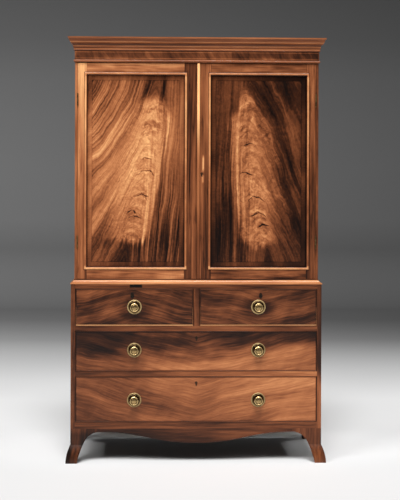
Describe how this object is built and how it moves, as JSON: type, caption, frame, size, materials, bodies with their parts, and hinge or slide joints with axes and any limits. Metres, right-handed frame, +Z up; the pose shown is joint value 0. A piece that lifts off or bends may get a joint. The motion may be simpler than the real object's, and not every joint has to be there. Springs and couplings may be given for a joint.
{
  "type": "linen press",
  "caption": "Free-standing linen press: panelled doors over sliding trays, drawers below, moulded cornice and outswept bracket feet.",
  "frame": {"origin": "middle of the ground the press covers, on the floor", "axes": "+X to the right along the front, +Y to the back, +Z up; the doors face -Y"},
  "size_m": [1.27, 0.568, 2.076],
  "materials": {
    "flame_mahogany": "French polished veneer",
    "mahogany": "French polished",
    "oak": "bare, aged",
    "pine": "bare, aged",
    "brass": "polished, lightly tarnished",
    "iron": "bright from wear"
  },
  "bodies": {
    "case": {"frieze": "flame_mahogany", "front_apron": "mahogany", "side_aprons": "mahogany", "front_feet": "mahogany", "rear_feet": "mahogany", "lower_side_left": "mahogany", "lower_side_right": "mahogany", "drawer_rails": "mahogany", "drawer_divider": "mahogany", "waist_moulding": "mahogany", "upper_side_left": "mahogany", "upper_side_right": "mahogany", "cornice_mouldings": "mahogany", "linen_tray_1": "oak", "linen_tray_2": "oak", "linen_tray_3": "oak", "linen_tray_4": "oak", "rear_rail": "pine", "foot_blocks": "pine", "lower_top_board": "pine", "lower_bottom_board": "pine", "drawer_runners": "pine", "lower_back_boards": "pine", "upper_top_board": "pine", "upper_bottom_board": "pine", "upper_back_boards": "pine", "tray_bearers": "pine", "cornice_top_board": "pine", "case_hinge_leaves": "brass"},
    "left_door": {"left_door_frame": "mahogany", "left_door_panel": "flame_mahogany", "left_door_beads": "mahogany", "left_door_hinge_leaves": "brass"},
    "right_door": {"right_door_frame": "mahogany", "right_door_panel": "flame_mahogany", "right_door_beads": "mahogany", "meeting_astragal": "mahogany", "right_door_hinge_leaves": "brass", "door_lock": "brass"},
    "door_lock_bolt": {"door_lock_bolt": "iron"},
    "left_short_drawer": {"left_short_drawer_front": "flame_mahogany", "left_short_drawer_box": "oak", "left_short_drawer_knobs": "brass", "left_short_drawer_lock": "brass"},
    "left_short_drawer_lock_bolt": {"left_short_drawer_lock_bolt": "iron"},
    "right_short_drawer": {"right_short_drawer_front": "flame_mahogany", "right_short_drawer_box": "oak", "right_short_drawer_knobs": "brass", "right_short_drawer_lock": "brass"},
    "right_short_drawer_lock_bolt": {"right_short_drawer_lock_bolt": "iron"},
    "upper_long_drawer": {"upper_long_drawer_front": "flame_mahogany", "upper_long_drawer_box": "oak", "upper_long_drawer_knobs": "brass", "upper_long_drawer_lock": "brass"},
    "upper_long_drawer_lock_bolt": {"upper_long_drawer_lock_bolt": "iron"},
    "lower_long_drawer": {"lower_long_drawer_front": "flame_mahogany", "lower_long_drawer_box": "oak", "lower_long_drawer_knobs": "brass", "lower_long_drawer_lock": "brass"},
    "lower_long_drawer_lock_bolt": {"lower_long_drawer_lock_bolt": "iron"}
  },
  "joints": [
    {"name": "left_door_swing", "type": "hinge", "parent": "case", "child": "left_door", "pos_m": [-0.58425, -0.2333, 1.423], "axis": [0, 0, -1], "range_deg": [0, 165]},
    {"name": "right_door_swing", "type": "hinge", "parent": "case", "child": "right_door", "pos_m": [0.58425, -0.2333, 1.423], "axis": [0, 0, 1], "range_deg": [0, 165]},
    {"name": "door_lock_throw", "type": "slide", "parent": "right_door", "child": "door_lock_bolt", "axis": [-1, 0, 0], "range_m": [0, 0.008]},
    {"name": "left_short_drawer_slide", "type": "slide", "parent": "case", "child": "left_short_drawer", "axis": [0, -1, 0], "range_m": [0, 0.4]},
    {"name": "left_short_drawer_lock_throw", "type": "slide", "parent": "left_short_drawer", "child": "left_short_drawer_lock_bolt", "axis": [0, 0, 1], "range_m": [0, 0.008]},
    {"name": "right_short_drawer_slide", "type": "slide", "parent": "case", "child": "right_short_drawer", "axis": [0, -1, 0], "range_m": [0, 0.4]},
    {"name": "right_short_drawer_lock_throw", "type": "slide", "parent": "right_short_drawer", "child": "right_short_drawer_lock_bolt", "axis": [0, 0, 1], "range_m": [0, 0.008]},
    {"name": "upper_long_drawer_slide", "type": "slide", "parent": "case", "child": "upper_long_drawer", "axis": [0, -1, 0], "range_m": [0, 0.4]},
    {"name": "upper_long_drawer_lock_throw", "type": "slide", "parent": "upper_long_drawer", "child": "upper_long_drawer_lock_bolt", "axis": [0, 0, 1], "range_m": [0, 0.008]},
    {"name": "lower_long_drawer_slide", "type": "slide", "parent": "case", "child": "lower_long_drawer", "axis": [0, -1, 0], "range_m": [0, 0.4]},
    {"name": "lower_long_drawer_lock_throw", "type": "slide", "parent": "lower_long_drawer", "child": "lower_long_drawer_lock_bolt", "axis": [0, 0, 1], "range_m": [0, 0.008]}
  ]
}
